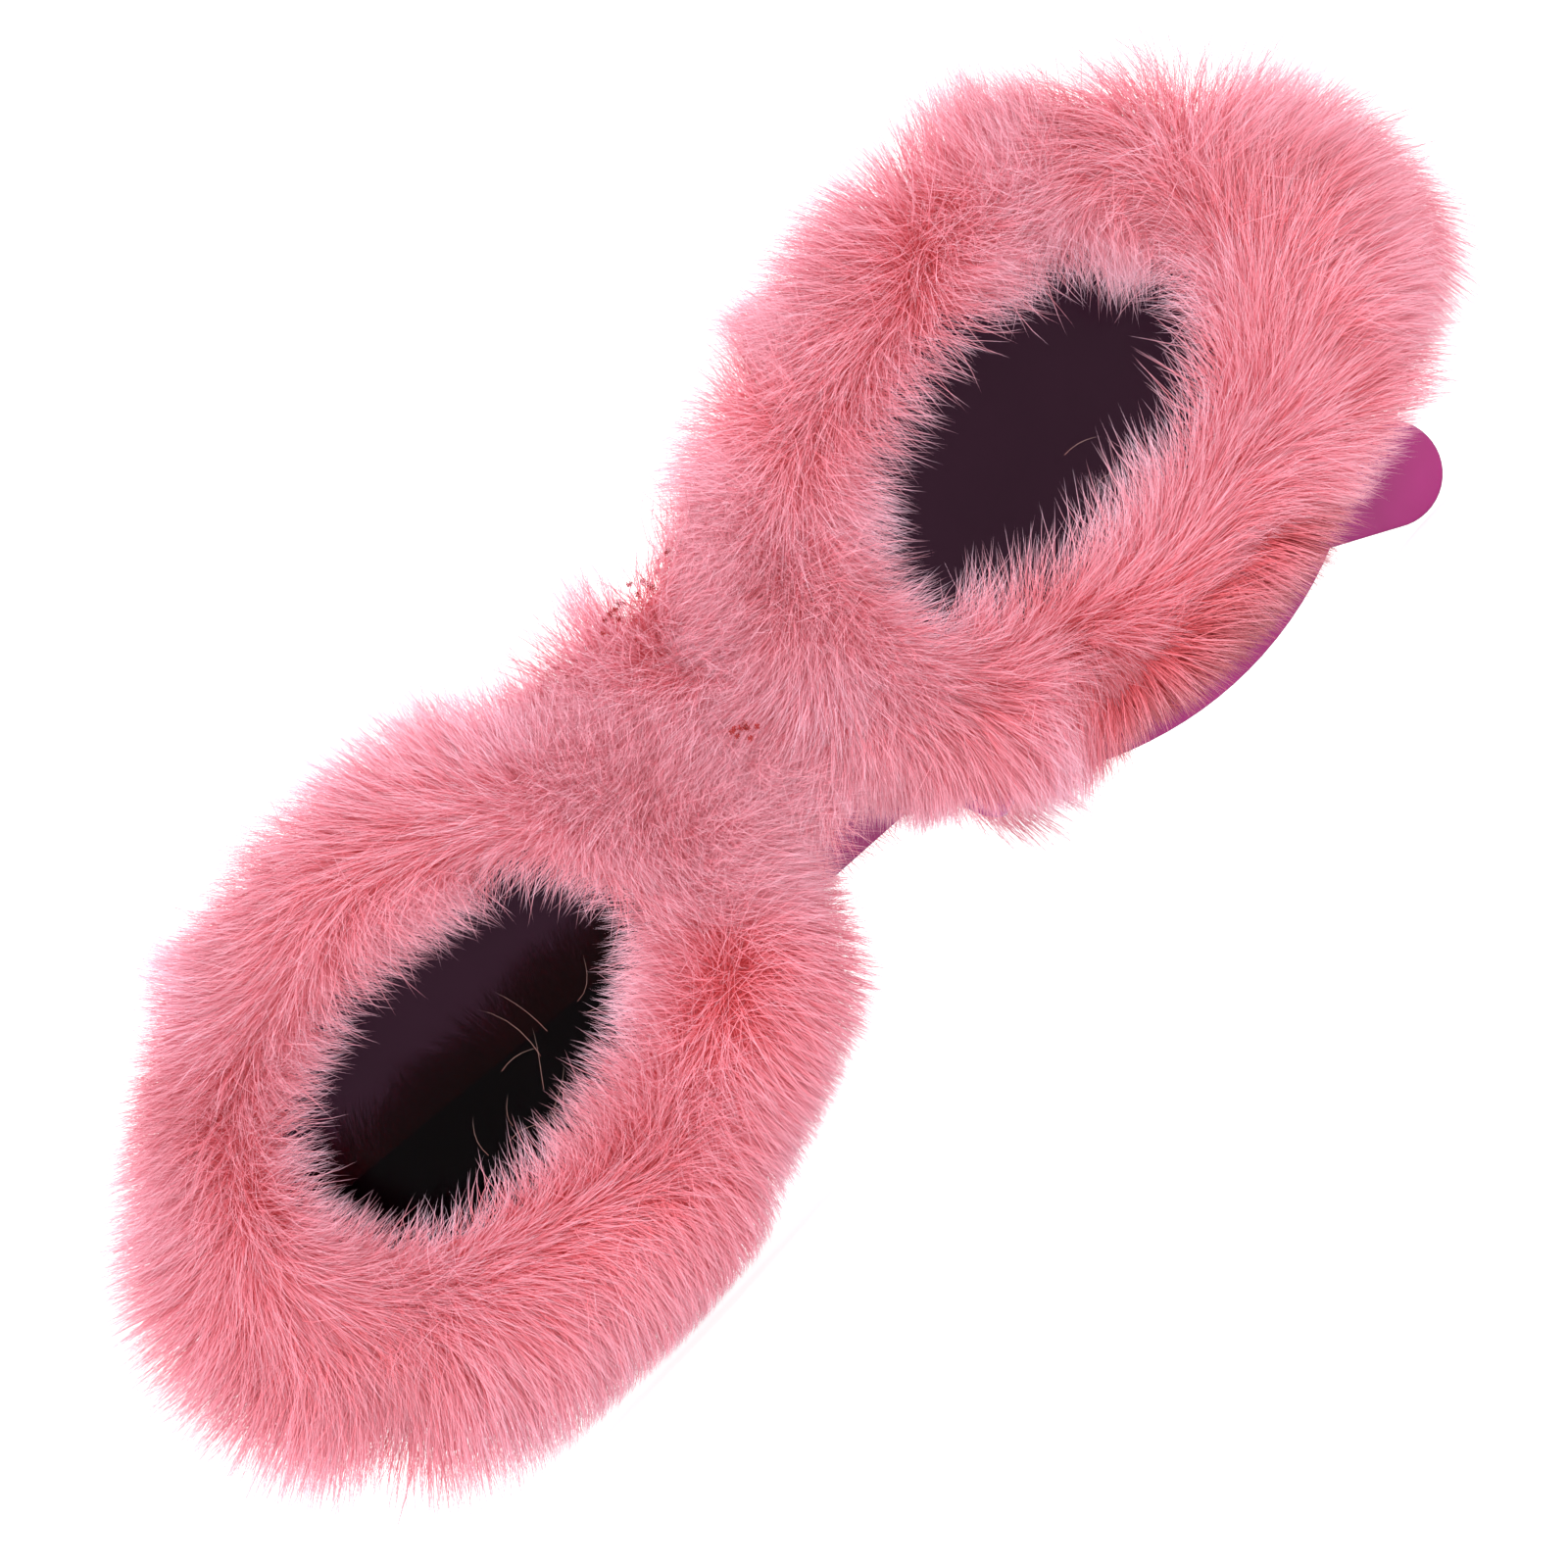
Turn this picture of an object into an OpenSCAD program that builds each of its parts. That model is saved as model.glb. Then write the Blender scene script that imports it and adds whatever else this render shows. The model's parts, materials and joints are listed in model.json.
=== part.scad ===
// Fur covered party sunglasses: a moulded plastic front with two dark lenses, two
// folding temples on three-knuckle screw hinges, and long-pile fur strips glued over the front
// and along the temples.
// X runs along the front, Y runs back from the lenses to the wearer, Z is up.
// The origin is the top of the arch under the bridge, on the front face, level with the lens centres.
// The left temple is folded flat behind the front, and the right temple stands open.

/* [Part] */
// Node to draw

/* [Front] */
// Distance from the middle of the bridge to each lens centre
lens_x = 38.5; // [37:0.5:40]
// Half the outer width of a rim
rim_half_w = 32; // [30:0.5:32]
// Half the outer height of a rim
rim_half_h = 25.5; // [24:0.5:28]
// Radius of a rim's two ends
rim_end_r = 20; // [17:0.5:21]
// Width of the rim seen from the front
rim_w = 4; // [3:0.25:5]
// Thickness of the front from front to back
front_t = 4; // [3.5:0.25:5]
// Radius that the front is curved to, around the face
wrap_r = 280; // [220:10:400]
// Height of the top of the bridge above the lens centres
bridge_top = 11; // [9:0.5:13]
// Radius of the arch over the nose
arch_r = 9; // [8:0.5:10]

/* [Lenses] */
// Thickness of a lens
lens_t = 1.6; // [1.4:0.1:2]
// Depth of the groove that holds a lens
groove_d = 1; // [0.6:0.1:1.5]
// Clearance around a lens in its groove
lens_gap = 0.1; // [0.05:0.05:0.2]

/* [Nose pads] */
// Height of a nose pad
pad_h = 14; // [12:0.5:16]
// Depth of a nose pad from front to back
pad_d = 8; // [6:0.5:9]
// Thickness of a nose pad
pad_t = 2.8; // [2.4:0.1:3]
// Angle that the pads open by towards the wearer
pad_splay = 25; // [15:1:30]
// Angle that the pads open by towards the bottom
pad_rake = 12; // [6:1:16]

/* [Hinges] */
// Distance from the middle of the bridge to each hinge axis
hinge_x = 68.2; // [68:0.1:69]
// Distance from the bridge's front face back to each hinge axis
hinge_y = 15.15; // [15:0.05:16]
// Outer radius of a hinge knuckle
knuckle_r = 1.6; // [1.4:0.1:1.7]
// Radius of the screw's shank
screw_r = 0.7; // [0.6:0.05:0.8]
// Radius of the hole through the knuckles
screw_hole_r = 0.76; // [0.7:0.02:0.9]
// Height of the middle knuckle
knuckle_h = 3; // [2.4:0.2:3.6]
// Thickness of a hinge leaf
leaf_t = 1; // [0.8:0.1:1.2]

/* [Temples] */
// Thickness of a temple
temple_t = 4; // [3.5:0.25:4.5]
// Height of a temple at the hinge
temple_root_h = 11; // [10:0.5:12]
// Height of a temple along its straight part
temple_h = 7.5; // [6.5:0.5:8]
// Length from the hinge to the start of the ear hook
temple_len = 96; // [88:1:98]
// Slope of a temple below the horizontal
temple_slope = 6; // [4:0.5:7]
// Angle that the ear hook bends down by
hook_angle = 21; // [16:1:26]
// Radius of the bend in the ear hook
hook_bend_r = 40; // [30:1:50]
// Length of the straight end of the ear hook
hook_len = 21; // [16:1:24]
// Radius of the ear hook's rounded end
hook_end_r = 5.2; // [4.5:0.1:5.5]

/* [Fur] */
// Depth of the fur in front of the plastic
fur_depth = 10; // [8:0.5:12]
// How far the fur reaches past the rims at the sides and the top
fur_out = 5.5; // [4:0.5:6]
// How far the fur hangs below the left rim
fur_hang = 3.5; // [2:0.5:4]
// How far the right rim shows below its fur
rim_bare = 2; // [1:0.5:3]
// Half the width of the window that the fur leaves over a lens
window_half_w = 22; // [20:0.5:24]
// Half the height of the window that the fur leaves over a lens
window_half_h = 14; // [12:0.5:15]
// Height of the middle of the window above the lens centres
window_z = 4; // [2:0.5:5]
// Thickness of the fur on the outside of a temple
temple_fur_t = 5.5; // [4:0.5:6]
// Height of the fur above a temple
temple_fur_up = 4.5; // [3:0.5:6]
// How far the fur hangs below a temple
temple_fur_down = 7; // [5:0.5:8]
// Where the fur starts, from the hinge
temple_fur_start = 4; // [3:0.5:6]
// Where the fur ends, from the hinge
temple_fur_end = 84; // [70:1:86]

/* [Hidden] */
$fn = 96;
// Clearance between pieces that touch in use, and a cut's overrun past a face
gap = 0.3;
over = 1;
// Half the span of the tall blanks that the curved front is cut from
span = 60;
// How far the bridge runs into the rims, and how far it reaches below the arch's top
bridge_root = 4;
bridge_foot = 2;
// Middle of the right nose pad
pad_x = 11.6;
pad_y = 7;
pad_z = -11;
// End block behind each rim's outer end
block_w = 8;
block_h = 12;
block_x = hinge_x + 1.8;
block_y0 = 10;
block_y1 = hinge_y - gap / 2;
block_r = 2;
// Temple's inner face and its square end at the hinge
temple_x = hinge_x + knuckle_r + 0.2;
temple_y = hinge_y + gap / 2;
butt_run = 2;
taper_share = 0.45;
// Hinge leaves
leaf_h = 9.6;
leaf_len = 11;
leaf_front_w = 5.4;
leaf_inset = 1;
leaf_trim = 0.4;
tang_h = 3;
tang_len = 3;
tang_x = 1.4;
tang_y = leaf_len - 3.5;
knuckle_gap = 0.05;
outer_knuckle_h = (leaf_h - knuckle_h) / 2 - knuckle_gap;
pocket_r = knuckle_r + 0.3;
head_r = 1.5;
head_h = 1;
slot_w = 0.4;
slot_d = 0.5;
window_end_r = 10;
temple_fur_r = 5;
fur_lift = 0.1;
fur_back = 3;
fur_join = 0.1;
fur_bridge_low = -1;
fur_bridge_high = 19;
fur_bridge_half_w = 13;
fur_nose_half_w = 6.5;
fur_step_z = -8;

plastic = [0.78, 0.16, 0.5];
lens_colour = [0.12, 0.07, 0.1];
steel = [0.72, 0.72, 0.74];
fur = [0.93, 0.47, 0.55];

// An oval of four tangent arcs: half width, half height, and the radius of its ends.
module oval(half_w, half_h, end_r) {
    c = half_w - end_r;
    big_r = (half_h * half_h + c * c - end_r * end_r) / (2 * (half_h - end_r));
    d = big_r - half_h;
    tangent_x = big_r * c / (big_r - end_r);
    for (s = [-1, 1])
        translate([s * c, 0])
            circle(r = end_r);
    intersection() {
        translate([0, -d])
            circle(r = big_r);
        translate([0, d])
            circle(r = big_r);
        square([2 * tangent_x, 4 * half_h], center = true);
    }
}

// The rim's outline, grown outwards by a distance.
module rim_oval(grow) {
    oval(rim_half_w + grow, rim_half_h + grow, rim_end_r + grow);
}

module rounded_rect(w, h, r) {
    square([w - 2 * r, h], center = true);
    square([w, h - 2 * r], center = true);
    for (x = [-1, 1], z = [-1, 1])
        translate([x * (w / 2 - r), z * (h / 2 - r)])
            circle(r = r);
}

// Stands a flat outline up in the XZ plane, from y0 back to y1.
module upright(y0, y1) {
    translate([0, y1, 0])
        rotate([90, 0, 0])
            linear_extrude(height = y1 - y0)
                children();
}

// An outline cut from the curved sheet that starts at depth y0 and is t thick.
module curved(y0, t) {
    intersection() {
        upright(-span / 2, span / 2)
            children();
        translate([0, wrap_r, -span])
            difference() {
                cylinder(r = wrap_r - y0, h = 2 * span);
                translate([0, 0, -over])
                    cylinder(r = wrap_r - y0 - t, h = 2 * span + 2 * over);
            }
    }
}

module bridge_outline() {
    half_w = lens_x - rim_half_w + bridge_root;
    difference() {
        translate([-half_w, -bridge_foot])
            square([2 * half_w, bridge_top + bridge_foot]);
        translate([0, -arch_r])
            circle(r = arch_r);
    }
}

module nose_pad() {
    translate([pad_x, pad_y, pad_z])
        rotate([0, -pad_rake, -pad_splay])
            rotate([0, 90, 0])
                rotate([0, 0, 90])
                    linear_extrude(height = pad_t, center = true) {
                        square([pad_d, pad_h - pad_d], center = true);
                        for (s = [-1, 1])
                            translate([0, s * (pad_h - pad_d) / 2])
                                circle(r = pad_d / 2);
                    }
}

module end_block() {
    upright(block_y0, block_y1)
        translate([block_x, 0])
            rounded_rect(block_w, block_h, block_r);
}

module both_sides() {
    children();
    mirror([1, 0, 0])
        children();
}

module front_frame() {
    color(plastic)
        difference() {
            union() {
                curved(0, front_t)
                    difference() {
                        union() {
                            for (s = [-1, 1])
                                translate([s * lens_x, 0])
                                    rim_oval(0);
                            bridge_outline();
                            for (s = [-1, 1])
                                translate([s * block_x, 0])
                                    rounded_rect(block_w, block_h, block_r);
                        }
                        for (s = [-1, 1])
                            translate([s * lens_x, 0])
                                rim_oval(-rim_w);
                    }
                both_sides()
                    nose_pad();
                both_sides()
                    end_block();
            }
            curved((front_t - lens_t) / 2 - lens_gap, lens_t + 2 * lens_gap)
                for (s = [-1, 1])
                    translate([s * lens_x, 0])
                        rim_oval(groove_d - rim_w);
            both_sides()
                translate([hinge_x, hinge_y, -knuckle_h / 2 - knuckle_gap])
                    cylinder(r = pocket_r, h = knuckle_h + 2 * knuckle_gap);
            both_sides()
                translate([hinge_x, hinge_y, leaf_h / 2])
                    cylinder(r = head_r + gap / 2, h = block_h);
            both_sides()
                front_leaf_body();
        }
}

module lens() {
    curved((front_t - lens_t) / 2, lens_t)
        translate([lens_x, 0])
            rim_oval(groove_d - rim_w - lens_gap);
}

module lens_left() {
    color(lens_colour)
        mirror([1, 0, 0])
            lens();
}

module lens_right() {
    color(lens_colour)
        lens();
}

// The front leaf's plate and its outer two knuckles, before the hole and the gap between them.
module front_leaf_body() {
    translate([hinge_x - leaf_inset, hinge_y - leaf_t - gap / 2, -leaf_h / 2])
        cube([leaf_front_w, leaf_t, leaf_h]);
    translate([hinge_x + tang_x, hinge_y - leaf_t - gap / 2 - tang_len, -tang_h / 2])
        cube([leaf_t, tang_len + leaf_t / 2, tang_h]);
    for (s = [-1, 1])
        translate([hinge_x, hinge_y, s * (leaf_h - outer_knuckle_h) / 2])
            cylinder(r = knuckle_r, h = outer_knuckle_h, center = true);
}

module front_leaf() {
    difference() {
        front_leaf_body();
        translate([hinge_x, hinge_y, -knuckle_h / 2 - knuckle_gap])
            cylinder(r = pocket_r, h = knuckle_h + 2 * knuckle_gap);
        translate([hinge_x, hinge_y, -leaf_h])
            cylinder(r = screw_hole_r, h = 2 * leaf_h);
    }
}

module front_hinge_left() {
    color(steel)
        mirror([1, 0, 0])
            front_leaf();
}

module front_hinge_right() {
    color(steel)
        front_leaf();
}

module hinge_screws() {
    color(steel)
        both_sides()
            translate([hinge_x, hinge_y, 0])
                difference() {
                    union() {
                        translate([0, 0, -leaf_h / 2])
                            cylinder(r = screw_r, h = leaf_h + head_h / 2);
                        translate([0, 0, leaf_h / 2])
                            cylinder(r = head_r, h = head_h);
                    }
                    translate([-head_r - over, -slot_w / 2, leaf_h / 2 + head_h - slot_d])
                        cube([2 * (head_r + over), slot_w, slot_d + over]);
                }
}

// A short tie inside the outline, across a place where two of its pieces meet.
module tie() {
    square([2 * over, temple_h - 2 * over], center = true);
}

// A temple seen from its side: u runs along it from the hinge, v is up.
module temple_outline() {
    taper_end = temple_len * taper_share;
    polygon([
        [0, -temple_root_h / 2],
        [taper_end, -temple_h / 2],
        [temple_len, -temple_h / 2],
        [temple_len, temple_h / 2],
        [taper_end, temple_h / 2],
        [0, temple_root_h / 2]
    ]);
    translate([temple_len, 0])
        tie();
    translate([temple_len, -hook_bend_r])
        intersection() {
            difference() {
                circle(r = hook_bend_r + temple_h / 2);
                circle(r = hook_bend_r - temple_h / 2);
            }
            polygon([
                [0, 0],
                [0, 2 * hook_bend_r],
                [2 * hook_bend_r * tan(hook_angle), 2 * hook_bend_r]
            ]);
        }
    translate([temple_len, -hook_bend_r])
        rotate(-hook_angle)
            translate([0, hook_bend_r]) {
                tie();
                polygon([
                    [0, -temple_h / 2],
                    [hook_len, -hook_end_r],
                    [hook_len, hook_end_r],
                    [0, temple_h / 2]
                ]);
                translate([hook_len, 0])
                    circle(r = hook_end_r);
            }
}

// Places an outline seen from the side along the right temple, between two depths in X.
module along_temple(x0, x1) {
    translate([x0, temple_y, 0])
        rotate([-temple_slope, 0, 0])
            rotate([90, 0, 90])
                linear_extrude(height = x1 - x0)
                    children();
}

module temple_blank() {
    intersection() {
        along_temple(temple_x, temple_x + temple_t)
            union() {
                temple_outline();
                translate([-butt_run, -temple_root_h / 2])
                    square([butt_run + over, temple_root_h]);
            }
        translate([temple_x - over, temple_y, -span])
            cube([temple_t + 2 * over, 3 * span, 2 * span]);
    }
}

module temple_leaf_body() {
    translate([temple_x, temple_y, leaf_trim - leaf_h / 2])
        cube([leaf_t, leaf_len, leaf_h - 2 * leaf_trim]);
    translate([temple_x + leaf_t / 2, temple_y + tang_y, -tang_h / 2])
        cube([leaf_t, leaf_t, tang_h]);
}

module temple_leaf() {
    difference() {
        union() {
            temple_leaf_body();
            translate([hinge_x, temple_y, -knuckle_h / 2])
                cube([temple_x - hinge_x + leaf_t / 2, knuckle_r - gap / 2, knuckle_h]);
            translate([hinge_x, hinge_y, -knuckle_h / 2])
                cylinder(r = knuckle_r, h = knuckle_h);
        }
        translate([hinge_x, hinge_y, -leaf_h])
            cylinder(r = screw_hole_r, h = 2 * leaf_h);
    }
}

module temple() {
    difference() {
        temple_blank();
        temple_leaf_body();
    }
}

// Fur along a temple: round-ended, over its outside, top and bottom, and open on its inner face.
module temple_fur() {
    fur_len = temple_fur_end - temple_fur_start;
    fur_h = temple_h + temple_fur_up + temple_fur_down;
    difference() {
        along_temple(temple_x + gap, temple_x + temple_t + temple_fur_t)
            translate([temple_fur_start + fur_len / 2, (temple_fur_up - temple_fur_down) / 2])
                rounded_rect(fur_len, fur_h, temple_fur_r);
        along_temple(temple_x - over, temple_x + temple_t + fur_lift)
            translate([temple_len / 2, 0])
                square([2 * temple_len, temple_root_h + 2 * fur_lift], center = true);
    }
}

// Folds a right-hand piece over to the left side, flat behind the front.
module folded_left() {
    translate([-hinge_x, hinge_y, 0])
        rotate([0, 0, -90])
            translate([hinge_x, -hinge_y, 0])
                mirror([1, 0, 0])
                    children();
}

module temple_left() {
    color(plastic)
        folded_left()
            temple();
}

module temple_right() {
    color(plastic)
        temple();
}

module temple_hinge_left() {
    color(steel)
        folded_left()
            temple_leaf();
}

module temple_hinge_right() {
    color(steel)
        temple_leaf();
}

module temple_fur_left() {
    color(fur)
        folded_left()
            temple_fur();
}

module temple_fur_right() {
    color(fur)
        temple_fur();
}

// Fur over the right half of the front: its lower edge is grown or drawn in by low.
module front_fur(low) {
    difference() {
        curved(-fur_depth, fur_depth + fur_back)
            difference() {
                intersection() {
                    union() {
                        translate([lens_x, 0])
                            intersection() {
                                rim_oval(fur_out);
                                translate([-span, fur_step_z])
                                    square([2 * span, span]);
                            }
                        translate([lens_x, 0])
                            intersection() {
                                rim_oval(low);
                                translate([-span, fur_step_z - span])
                                    square([2 * span, span + over]);
                            }
                        translate([0, fur_bridge_low])
                            square([fur_bridge_half_w, fur_bridge_high - fur_bridge_low]);
                    }
                    translate([fur_join, -span])
                        square([2 * span, 2 * span]);
                }
                translate([lens_x, window_z])
                    oval(window_half_w, window_half_h, window_end_r);
                translate([0, fur_bridge_low - span])
                    square([fur_nose_half_w, span]);
            }
        curved(-fur_lift, fur_back + over)
            union() {
                translate([lens_x, 0])
                    rim_oval(fur_lift);
                translate([block_x, 0])
                    rounded_rect(block_w + 2 * fur_lift, block_h + 2 * fur_lift, block_r);
                translate([0, -bridge_foot])
                    square([fur_bridge_half_w, bridge_top + bridge_foot + fur_lift]);
                translate([pad_x, pad_z])
                    square([pad_d + 2 * over, pad_h + 2 * over], center = true);
            }
    }
}

module front_fur_left() {
    color(fur)
        mirror([1, 0, 0])
            front_fur(fur_hang);
}

module front_fur_right() {
    color(fur)
        front_fur(-rim_bare);
}

front_frame();
lens_left();
lens_right();
front_hinge_left();
front_hinge_right();
hinge_screws();
temple_left();
temple_right();
temple_hinge_left();
temple_hinge_right();
front_fur_left();
front_fur_right();
temple_fur_left();
temple_fur_right();
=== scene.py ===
"""Fur covered sunglasses: fur, plastic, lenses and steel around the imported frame."""

import json
import math

import bmesh
import bpy
import numpy as np
from mathutils import Matrix, Vector
from mathutils.kdtree import KDTree


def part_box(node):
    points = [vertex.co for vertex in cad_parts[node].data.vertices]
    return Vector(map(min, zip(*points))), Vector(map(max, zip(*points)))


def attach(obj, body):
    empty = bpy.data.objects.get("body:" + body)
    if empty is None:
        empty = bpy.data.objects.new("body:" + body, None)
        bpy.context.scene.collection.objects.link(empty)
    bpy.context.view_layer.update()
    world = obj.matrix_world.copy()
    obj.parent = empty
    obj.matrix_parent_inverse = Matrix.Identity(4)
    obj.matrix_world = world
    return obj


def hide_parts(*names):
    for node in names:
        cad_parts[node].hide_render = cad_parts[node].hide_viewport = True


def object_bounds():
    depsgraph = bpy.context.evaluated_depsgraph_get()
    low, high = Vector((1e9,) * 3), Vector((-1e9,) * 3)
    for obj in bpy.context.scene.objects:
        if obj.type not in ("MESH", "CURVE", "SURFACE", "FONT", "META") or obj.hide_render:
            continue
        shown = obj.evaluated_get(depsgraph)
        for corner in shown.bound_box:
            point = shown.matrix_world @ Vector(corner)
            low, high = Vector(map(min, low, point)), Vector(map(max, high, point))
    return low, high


MM = 0.001

# Camera
CAMERA_AZIMUTH = 1.0
CAMERA_ELEVATION = 1.5
CAMERA_ROLL = 47.7
CAMERA_DISTANCE = 0.55
CAMERA_TARGET = (-0.4, 0.0, -0.5)
VIEW_WIDTH = 0.1455
SENSOR = 36.0

# Strands
STEPS = 5
SIDES = 3
TAPER = np.array([1.0, 0.95, 0.82, 0.62, 0.38])
STRAND_R = 0.048
STRAND_R_SPREAD = (0.7, 1.25)
WANDER = 0.24
FLYAWAY = 0.06
FLYAWAY_WANDER = 3.0
CLUMP_SIZE = 9
CLUMP_PULL = 0.27
COUNT_RING, COUNT_BRIDGE, COUNT_TEMPLE = 50000, 9000, 20000

# Materials
# Painted light: the pile and its backing glow faintly in their own colour, for light that passes
# through the fibres
PAINTED_GLOW = 0.11
LENS_IOR = 1.1

# Stage and lights: each light's name, place, size and power
FLOOR_FLAT, FLOOR_BEND, FLOOR_TOP, FLOOR_TURNS = 1.1, 0.5, 2.4, 96
LIGHTS = (
    ("key", (-0.45, -0.80, 0.95), 0.8, 12.5),
    ("fill", (0.85, -0.7, 0.45), 0.9, 6.0),
    ("rim", (0.1, 0.9, 0.9), 0.8, 8.0),
)

# The front that the fur is glued to, in mm. Values by side are for left (-1) and right (1).
WRAP_R = 280.0
RIM_HALF = (32.0, 25.5)
EDGE_OUT = 2.5
EDGE_LOW = {-1: -0.5, 1: -3.0}
WINDOW_HALF = (23.0, 14.5)
WINDOW_Z = 4.5
DOME = 3.0
BRIDGE_X = (0.0, 17.0)
BRIDGE_Z = (-3.0, 20.0)
BRIDGE_MID_Z = 7
BRIDGE_SWELL = 1.5

# Pile on the front: lengths in mm
PILE_LENGTH = 12.5
BRIDGE_LENGTH = 12.0
LENGTH_SPREAD = (0.7, 1.1)
SHORTER_INSIDE = 4.0
SHORTER_OUTSIDE = 1.5
END_LONGER = {-1: 4.5, 1: 0.0}
CORNER_LONGER = {-1: -5.0, 1: 4.0}
CORNER_SPREAD = {-1: -0.7, 1: 0.5}
CORNER_ANGLE = {-1: 133, 1: 30}
FRINGE = {-1: 0.0, 1: 2.0}
GAP_LIFT = {-1: 0.0, 1: 1.6}
NOSE_SHORTER = 0.45

# Pile on the front: which way it lies. A wave is its length in mm and its amount.
PARTING, PARTING_MIN = 0.30, 0.22
PARTING_WAVE = (22.0, 0.20)
PARTING_WIDE = (0.36, 0.34)
RING_WAVES = ((34.0, 0.45), (10.0, 0.24))
BRIDGE_WAVES = ((30.0, 0.5), (9.0, 0.25))
LOOSE = 0.5
RISE = 0.9
SPLAY = 0.55
SPREAD, SPREAD_TOP = 1.15, 0.45
BOW = 0.30
COMB_TOP = 1.2
COMB_LOW = 0.5
TURN_FLOW, TURN_WAVE, TURN_START = -1.1, (30.0, 0.7), 0.35
SAG, SAG_LOW = 0.25, 0.25

# Pile on the front: shades from 0 dark to 1 pale
SHADE_RING, SHADE_BRIDGE = 0.52, 0.50
SHADE_SPREAD = 0.12
SHADE_WAVE = (13.0, 0.16)
SHADE_INSIDE = 0.30
SHADE_RANGE = (0.02, 0.99)

# Marks in the pile: a stray tuft, a crease darkened with painted shade, a darker lower edge, a
# trimmed outline and crumbs of glue
TUFT, TUFT_R = (-50.0, 27.0), 4.0
TUFT_LIFT, TUFT_LONGER = 2.2, 0.45
# The crease at the left end: its strands are shorter, and darkened with painted shade for the shade
# that falls into it
CREASE_X, CREASE_WIDE = -65.5, 2.4
CREASE_SHORTER, CREASE_PAINTED_SHADE = 0.4, 0.5
WORN_X = (21.0, 52.0)
WORN_Z = -20.5
# How much darker the strands along the lower edge below the right lens are made
LOW_EDGE_DARKER = 0.9
WORN_BARE = (4.5, 8.0)
TRIM_EDGE = (
    (-80, -40), (-66, -27), (-60, -28.5), (-43, -31), (-34, -29), (-29, -26), (-24, -24.8),
    (-12, -21.7), (-4.5, -20), (0.5, -16.5), (4, -12.5), (7, -14.5), (9, -17), (13, -20),
    (16, -22), (25, -22), (32, -24), (50, -24), (56, -22.5), (68, -21.5), (72, -40),
)
TRIM_ROUGH = 0.7
TRIM_SHORTEST = 0.25
FRONT_DEPTH = 10.0
GLUE_SPOT, GLUE_DEPTH, GLUE_CRUMBS = (1.2, 6.0), (12.0, 13.2), 9
SEAM_X, SEAM_Z, SEAM_DEPTH, SEAM_CRUMBS = (-9.0, 9.0), 21.5, (4, 10), 26
CRUMB_BITS = 14
CRUMB_LENGTH = (0.4, 0.9)

# Loose hairs on the lenses
LOOSE_HAIRS = {-1: 13, 1: 4}
HAIR_R = 0.022
HAIR_LENGTH = (3.0, 8.0)
HAIR_X, HAIR_Z = (-8, 12), (-6.5, 1.0)
HAIR_CURLS = (-2.2, -0.8, 0.9, 2.4)

# Pile on the temples
TEMPLE_SLOPE = 6.0
TEMPLE_FACE = 5.8
TEMPLE_FUR = (-1.0, 86.0)
TEMPLE_FUR_HALF = (4.2, 1.5)
TEMPLE_ROUND = 118
TEMPLE_SHORT = (54.0, 79.0)
TEMPLE_WAVES = ((22.0, 0.45), (8.0, 0.30))
TEMPLE_LENGTH = 14.0
TEMPLE_LENGTH_SPREAD = (0.72, 1.08)
TEMPLE_SHADE = 0.55

# Backing of the fur
BACKING_THICK = 0.7
BACKING_UNDER = 0.2
BACKING_ROUND = 50

# Ground
REST_ABOVE = 0.4
REST_SOFT = 3.0

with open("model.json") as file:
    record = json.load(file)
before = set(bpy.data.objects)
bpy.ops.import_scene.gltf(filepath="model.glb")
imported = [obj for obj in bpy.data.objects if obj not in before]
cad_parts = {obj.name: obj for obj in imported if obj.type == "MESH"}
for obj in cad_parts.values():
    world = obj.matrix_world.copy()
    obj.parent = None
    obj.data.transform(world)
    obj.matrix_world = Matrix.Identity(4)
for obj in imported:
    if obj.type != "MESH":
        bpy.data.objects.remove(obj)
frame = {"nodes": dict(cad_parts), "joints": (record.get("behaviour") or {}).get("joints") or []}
cad_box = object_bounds()
nodes = frame["nodes"]
joints = {j["name"]: j for j in frame["joints"]}


# ---------------------------------------------------------------- small tools
def unit(v):
    return v / np.maximum(np.linalg.norm(v, axis=-1, keepdims=True), 1e-12)


def waves(points, wavelength, seed, count=7):
    """A smooth random vector at each point, made of a few waves about a wavelength long."""
    rng = np.random.default_rng(seed)
    k = unit(rng.normal(size=(count, 3)))
    k = k * (2 * math.pi / wavelength) * rng.uniform(0.6, 1.7, (count, 1))
    phase = rng.uniform(0, 2 * math.pi, (count, 3))
    amount = rng.normal(size=(count, 3)) / math.sqrt(count)
    angle = points @ k.T
    return (np.sin(angle[:, :, None] + phase[None]) * amount[None]).sum(1)


def grow(roots, aim, lean, length, rng):
    """Centre lines of strands, which leave their roots along aim and turn towards lean."""
    line = np.empty((len(roots), STEPS + 1, 3))
    line[:, 0] = roots
    wild = np.where(rng.uniform(size=(len(roots), 1)) < FLYAWAY, FLYAWAY_WANDER, 1.0)
    kink, second = (rng.normal(size=roots.shape) * WANDER * wild for _ in range(2))
    for i in range(STEPS):
        t = (i + 0.5) / STEPS
        way = unit(aim + lean * t**1.3 + kink * (1 - t) + second * 1.6 * t)
        line[:, i + 1] = line[:, i] + way * (length / STEPS)[:, None]
    return line


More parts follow.
